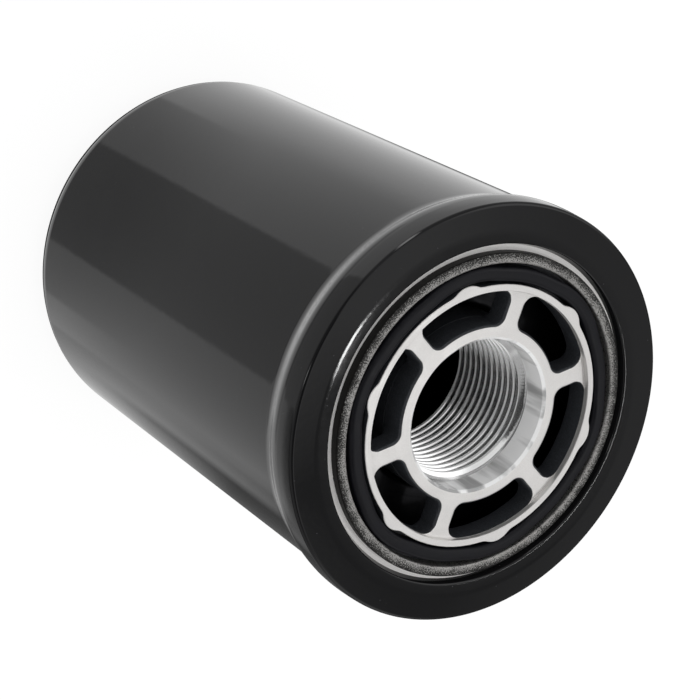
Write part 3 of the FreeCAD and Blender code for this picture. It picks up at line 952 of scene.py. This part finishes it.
class FILTER_OT_retainer(bpy.types.Operator):
    """Turn the speckled retainer ring"""
    bl_idname = "filter_build.retainer"
    bl_label = "Retainer ring"

    def execute(self, context):
        """Ring with a turned foot that the can's lip holds, given painted light and shade."""
        s = context.scene.filter_rings
        foot_top = face_height - s.foot_drop
        ring_top = face_height + s.rise
        outer = s.inner + s.width
        piece = turned("retainer_ring_turned", [
            (s.inner, seat_height), (s.foot, seat_height), (s.foot, foot_top),
            (outer, foot_top), (outer, ring_top), (s.inner, ring_top)],
            [0.0, 0.0, 0.0, 0.0, s.rounding, s.rounding])
        colours = context.scene.filter_colours
        coated(piece, ring_material(colours), shaded_wall_material(), lit_seat_material(colours))
        # Slot 1 paints shade on the ring's outer wall and the outer part of its rounding.
        painted(piece, 1, lambda face: radius_of(face.center) > outer - s.rounding / 2
                and face.normal.z < rounded_up)
        # Slot 2 gives the top of the ring's foot its painted light.
        painted(piece, 2, lambda face: radius_of(face.center) > outer
                and face.normal.z > facing_up)
        installed(smoothed(piece, degrees=40), "ring_steel", "retainer_ring")
        return {"FINISHED"}


class FILTER_OT_gasket(bpy.types.Operator):
    """Mould the wavy gasket between the lobed ring and the retainer ring"""
    bl_idname = "filter_build.gasket"
    bl_label = "Gasket"

    def execute(self, context):
        """Loops run up the outer wall, over the crown and down the inner wall."""
        head = context.scene.filter_head
        s = context.scene.filter_rings
        top = gasket_box[1].z
        base = head.ring + s.gasket_gap
        tip = head.lobe_tip + s.gasket_touch
        edge_steps = 8
        edge = quarter(edge_steps)
        section = [(s.gasket_width, seat_height)]
        section += [(s.gasket_width - s.gasket_edge * across, top - s.gasket_edge * along)
                    for across, along in edge]
        section += [(s.gasket_edge * along, top - s.gasket_edge * across)
                    for across, along in edge]
        section.append((0.0, seat_height))
        piece = skinned("gasket_moulded", [
            lobed_points(base + out, tip + out, s.wave_round + out, s.wave_fillet - out,
                         head.ports, height) for out, height in section], True)
        coated(piece, rubber_material("gasket_rubber_skin", context.scene.filter_colours.rubber))
        installed(smoothed(piece, degrees=50), "gasket_rubber", "mounting_gasket")
        return {"FINISHED"}


class FILTER_OT_inner_finishes(bpy.types.Operator):
    """Give each carried over inner part its own finish"""
    bl_idname = "filter_build.inner_finishes"
    bl_label = "Inner finishes"

    def execute(self, context):
        """The inner parts keep their shapes and get node based materials."""
        seals = rubber_material("seal_rubber_skin", context.scene.filter_colours.rubber)
        finishes = (
            (seals, "can_seal", "hub_seal"),
            # The plated parts take painted shade, so that they show black through the ports.
            (plated_shade_material(), "element_top_cap", "element_bottom_cap", "centre_tube",
             "seam_clip"),
            (mesh_material(), "upstream_mesh", "downstream_mesh"),
            (adhesive_material(), "top_adhesive", "bottom_adhesive"),
            (medium_material(), "filter_media"),
            (spring_material(), "element_spring"),
        )
        for material, *names in finishes:
            for name in names:
                for material_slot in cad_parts[name].material_slots:
                    material_slot.material = material
        return {"FINISHED"}


class FILTER_OT_stage(bpy.types.Operator):
    """Set the floor, the camera, the soft light and the white background"""
    bl_idname = "filter_build.stage"
    bl_label = "Stage"

    def execute(self, context):
        """The camera stands where the photograph was taken from."""
        s = context.scene.filter_stage
        scene = context.scene
        scene.view_settings.view_transform = "Standard"
        deselect_all()
        bpy.ops.mesh.primitive_plane_add(size=s.floor_size)
        floor = context.object
        floor.name = "studio_floor"
        floor.data.materials.append(floor_material(s.floor_white, s.floor_tone))
        bpy.ops.object.camera_add(location=s.camera_place, rotation=s.camera_turn)
        camera = context.object
        camera.data.sensor_width = 36.0
        camera.data.lens = s.lens
        scene.camera = camera
        scene.world = studio_world(s)
        add_lamp(s)
        return {"FINISHED"}


def add_lamp(s):
    """Small rectangular lamp behind the object, turned to the middle of the face."""
    turn_to = Matrix.Rotation(s.view + math.radians(lamp_azimuth), 3, "Z")
    lift = math.radians(lamp_elevation)
    away = turn_to @ Vector((math.cos(lift), 0, math.sin(lift)))
    target = Vector((0, 0, face_height))
    bpy.ops.object.light_add(type="AREA", location=target + away * s.lamp_distance)
    lamp = bpy.context.object
    lamp.name = "back_lamp"
    lamp.data.shape = "RECTANGLE"
    lamp.data.size, lamp.data.size_y = (
        2 * s.lamp_distance * math.tan(math.radians(span) / 2) for span in lamp_spans)
    lamp.data.energy = s.lamp
    across = turn_to @ Vector((0, 1, 0))
    lamp.rotation_euler = Matrix((across, away.cross(across), away)).transposed().to_euler()


def grey(value):
    """Neutral colour."""
    return (value, value, value, 1)


def floor_material(white, tone):
    """Pale floor, white to the camera apart from the object's shadow. Glossy surfaces see a
    painted shadow, a dark disc under the object, and look through the rest at the studio."""
    material = bpy.data.materials.new("studio_floor")
    material.use_nodes = True
    tree = material.node_tree
    tree.nodes.clear()
    rays = node(tree, "LightPath").outputs
    lit = node(tree, "BsdfDiffuse", Color=grey(tone)).outputs[0]
    glow = node(tree, "Emission", Color=grey(1), Strength=white).outputs[0]
    seen = linked("AddShader", i0=lit, i1=glow).outputs[0]
    pale = node(tree, "BsdfDiffuse", Color=grey(pale_tone)).outputs[0]
    floor = linked("MixShader", i0=rays["Is Camera Ray"], i1=pale, i2=seen).outputs[0]
    radius = radius_at(place_of(material))
    # Painted shadow: glossy rays see a near black disc under the can.
    under = ramp(radius, body_radius - shade_edge, body_radius + shade_edge, 0.0, 1.0)
    dark = node(tree, "BsdfDiffuse", Color=grey(painted_shadow_tone)).outputs[0]
    through = node(tree, "BsdfTransparent").outputs[0]
    in_gloss = linked("MixShader", i0=under, i1=dark, i2=through).outputs[0]
    shown = linked("MixShader", i0=rays["Is Glossy Ray"], i1=floor, i2=in_gloss)
    linked("OutputMaterial", Surface=shown.outputs[0])
    return material


def curve(value, points):
    """Straight lines through (input, output) points, flat past both ends."""
    low, high = points[0][0], points[-1][0]
    outputs = [point[1] for point in points]
    least, most = min(outputs), max(outputs)
    made = linked("FloatCurve", Value=ramp(value, low, high, 0.0, 1.0))
    line = made.mapping.curves[0]
    places = [((x - low) / (high - low), (y - least) / (most - least)) for x, y in points]
    line.points[0].location = places[0]
    line.points[1].location = places[-1]
    for place in places[1:-1]:
        line.points.new(*place)
    for point in line.points:
        point.handle_type = "VECTOR"
    made.mapping.update()
    return ramp(made.outputs[0], 0.0, 1.0, least, most)


def studio_light(tree, s):
    """Brightness of the studio in each direction."""
    toward = linked("Mapping", {"vector_type": "POINT"}, Rotation=(0, 0, -s.view),
                    Vector=node(tree, "TexCoord").outputs["Generated"])
    parts = linked("SeparateXYZ", Vector=toward.outputs[0]).outputs
    degrees = 180 / math.pi
    azimuth = maths("MULTIPLY", maths("ARCTAN2", parts["Y"], parts["X"]), degrees)
    lift = maths("MULTIPLY", maths("ARCSINE", parts["Z"]), degrees)
    light = curve(lift, studio_rise)
    for middle, half, low, high, soft, strength in studio_cards:
        away = maths("SUBTRACT", azimuth, middle)
        away = maths("WRAP", away, 180.0, -180.0)
        across = ramp(maths("ABSOLUTE", away), half - soft, half + soft, 1.0, 0.0)
        above = ramp(lift, low - soft, low + soft, 0.0, 1.0)
        below = ramp(lift, high - soft, high + soft, 1.0, 0.0)
        cover = maths("MULTIPLY", across, maths("MULTIPLY", above, below))
        change = maths("SUBTRACT", strength, light)
        light = maths("MULTIPLY_ADD", cover, change, light)
    return light


def studio_world(s):
    """White to the camera, even light for matt surfaces and the studio for glossy ones."""
    world = bpy.data.worlds.new("studio")
    world.use_nodes = True
    tree = world.node_tree
    tree.nodes.clear()
    rays = node(tree, "LightPath").outputs
    even, white, studio = (
        node(tree, "Background", Color=grey(1), Strength=strength).outputs[0]
        for strength in (s.sky, 1.0, studio_light(tree, s)))
    first = linked("MixShader", i0=rays["Is Glossy Ray"], i1=even, i2=studio).outputs[0]
    shown = linked("MixShader", i0=rays["Is Camera Ray"], i1=first, i2=white).outputs[0]
    linked("OutputWorld", Surface=shown)
    return world


builders = (FILTER_OT_can, FILTER_OT_head, FILTER_OT_thread, FILTER_OT_retainer, FILTER_OT_gasket,
            FILTER_OT_inner_finishes, FILTER_OT_stage)


class FILTER_PT_panel(bpy.types.Panel):
    """Buttons that build the filter and its stage"""
    bl_idname = "FILTER_PT_panel"
    bl_label = "Hydraulic filter"
    bl_space_type = "VIEW_3D"
    bl_region_type = "UI"
    bl_category = "Filter"

    def draw(self, context):
        """Lists one button for each piece, in building order."""
        for builder in builders:
            self.layout.operator(builder.bl_idname)


groups = {
    "filter_can": FilterCanSizes,
    "filter_head": FilterHeadSizes,
    "filter_rings": FilterRingSizes,
    "filter_colours": FilterColours,
    "filter_stage": FilterStageSettings,
}


def register():
    """Registers the classes and hangs each group of settings on the scene."""
    for made in (*groups.values(), *builders, FILTER_PT_panel):
        bpy.utils.register_class(made)
    for name, group in groups.items():
        setattr(bpy.types.Scene, name, bpy.props.PointerProperty(type=group))


def unregister():
    """Takes the settings and the classes away again."""
    for name in groups:
        delattr(bpy.types.Scene, name)
    for made in (FILTER_PT_panel, *builders, *groups.values()):
        bpy.utils.unregister_class(made)


def main():
    """Builds every piece in order."""
    register()
    for builder in builders:
        area, name = builder.bl_idname.split(".")
        getattr(getattr(bpy.ops, area), name)()
    deselect_all()


if __name__ == "__main__":
    main()
